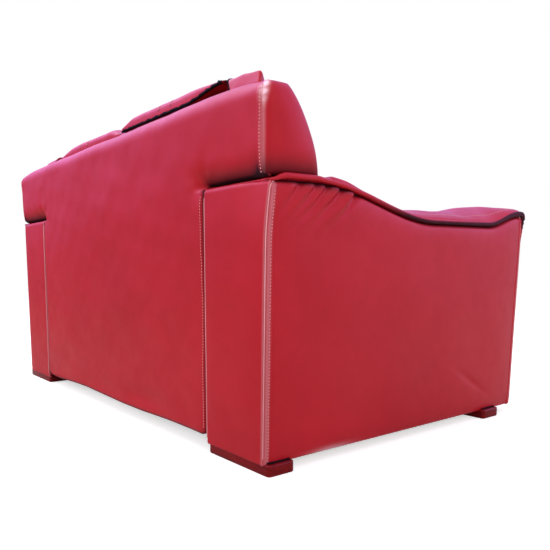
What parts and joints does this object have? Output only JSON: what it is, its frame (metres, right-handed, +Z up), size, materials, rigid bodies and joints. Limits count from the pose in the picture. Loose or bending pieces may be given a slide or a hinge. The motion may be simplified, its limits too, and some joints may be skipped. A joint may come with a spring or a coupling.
{
  "type": "sofa",
  "caption": "Red leather loveseat with S-curved padded arms, a winged back, lift-up headrests and low lacquered block feet.",
  "frame": {"origin": "on the floor, under the middle of the overall box", "axes": "+X to the sitter's left, +Y to the back, +Z up; the front faces -Y"},
  "size_m": [1.656, 1.0312, 0.9411],
  "materials": {
    "red_leather": "satin, fine grain",
    "welt_leather": "satin, fine grain",
    "frame_wood": "sawn, unfinished",
    "foot_lacquer": "dark red gloss lacquer",
    "hinge_steel": "zinc plated",
    "black_lining": "matt woven lining",
    "webbing": "elastic webbing",
    "deck_felt": "pressed felt"
  },
  "bodies": {
    "sofa": {"arm_outer_panel_left": "red_leather", "arm_outer_panel_right": "red_leather", "arm_inner_panel_left": "red_leather", "arm_inner_panel_right": "red_leather", "arm_top_pad_left": "red_leather", "arm_top_pad_right": "red_leather", "arm_front_panel_left": "red_leather", "arm_front_panel_right": "red_leather", "arm_rear_panel_left": "red_leather", "arm_rear_panel_right": "red_leather", "arm_welts_left": "welt_leather", "arm_welts_right": "welt_leather", "arm_outer_ply_left": "frame_wood", "arm_outer_ply_right": "frame_wood", "arm_inner_ply_left": "frame_wood", "arm_inner_ply_right": "frame_wood", "arm_top_board_left": "frame_wood", "arm_top_board_right": "frame_wood", "arm_blocks_left": "frame_wood", "arm_blocks_right": "frame_wood", "back_cover": "red_leather", "wing_pad_left": "red_leather", "wing_pad_right": "red_leather", "wing_end_panel_left": "red_leather", "wing_end_panel_right": "red_leather", "shoulder_pad_left": "red_leather", "shoulder_pad_right": "red_leather", "back_posts": "frame_wood", "back_top_rail": "frame_wood", "back_webbing": "webbing", "back_cushion_left": "red_leather", "back_cushion_right": "red_leather", "hinge_brackets": "hinge_steel", "hinge_pins": "hinge_steel", "front_rail": "frame_wood", "rear_rail": "frame_wood", "side_rails": "frame_wood", "centre_rail": "frame_wood", "seat_webbing": "webbing", "seat_deck_pad": "deck_felt", "seat_cushion_left": "red_leather", "seat_cushion_right": "red_leather", "front_border": "red_leather", "dust_cover": "black_lining", "foot_rear_left": "foot_lacquer", "foot_rear_right": "foot_lacquer", "foot_front_left": "foot_lacquer", "foot_front_right": "foot_lacquer", "foot_liners": "black_lining", "foot_bolts": "hinge_steel", "arm_bolts": "hinge_steel"},
    "headrest_left": {"headrest_pad_left": "red_leather", "headrest_board_left": "frame_wood", "headrest_lining_left": "black_lining", "headrest_leaves_left": "hinge_steel"},
    "headrest_right": {"headrest_pad_right": "red_leather", "headrest_board_right": "frame_wood", "headrest_lining_right": "black_lining", "headrest_leaves_right": "hinge_steel"}
  },
  "joints": [
    {"name": "headrest_left_hinge", "type": "hinge", "parent": "sofa", "child": "headrest_left", "pos_m": [0.2865, 0.316, 0.872], "axis": [1, 0, 0], "range_deg": [0, 90]},
    {"name": "headrest_right_hinge", "type": "hinge", "parent": "sofa", "child": "headrest_right", "pos_m": [-0.2865, 0.316, 0.872], "axis": [1, 0, 0], "range_deg": [-7, 83]}
  ]
}
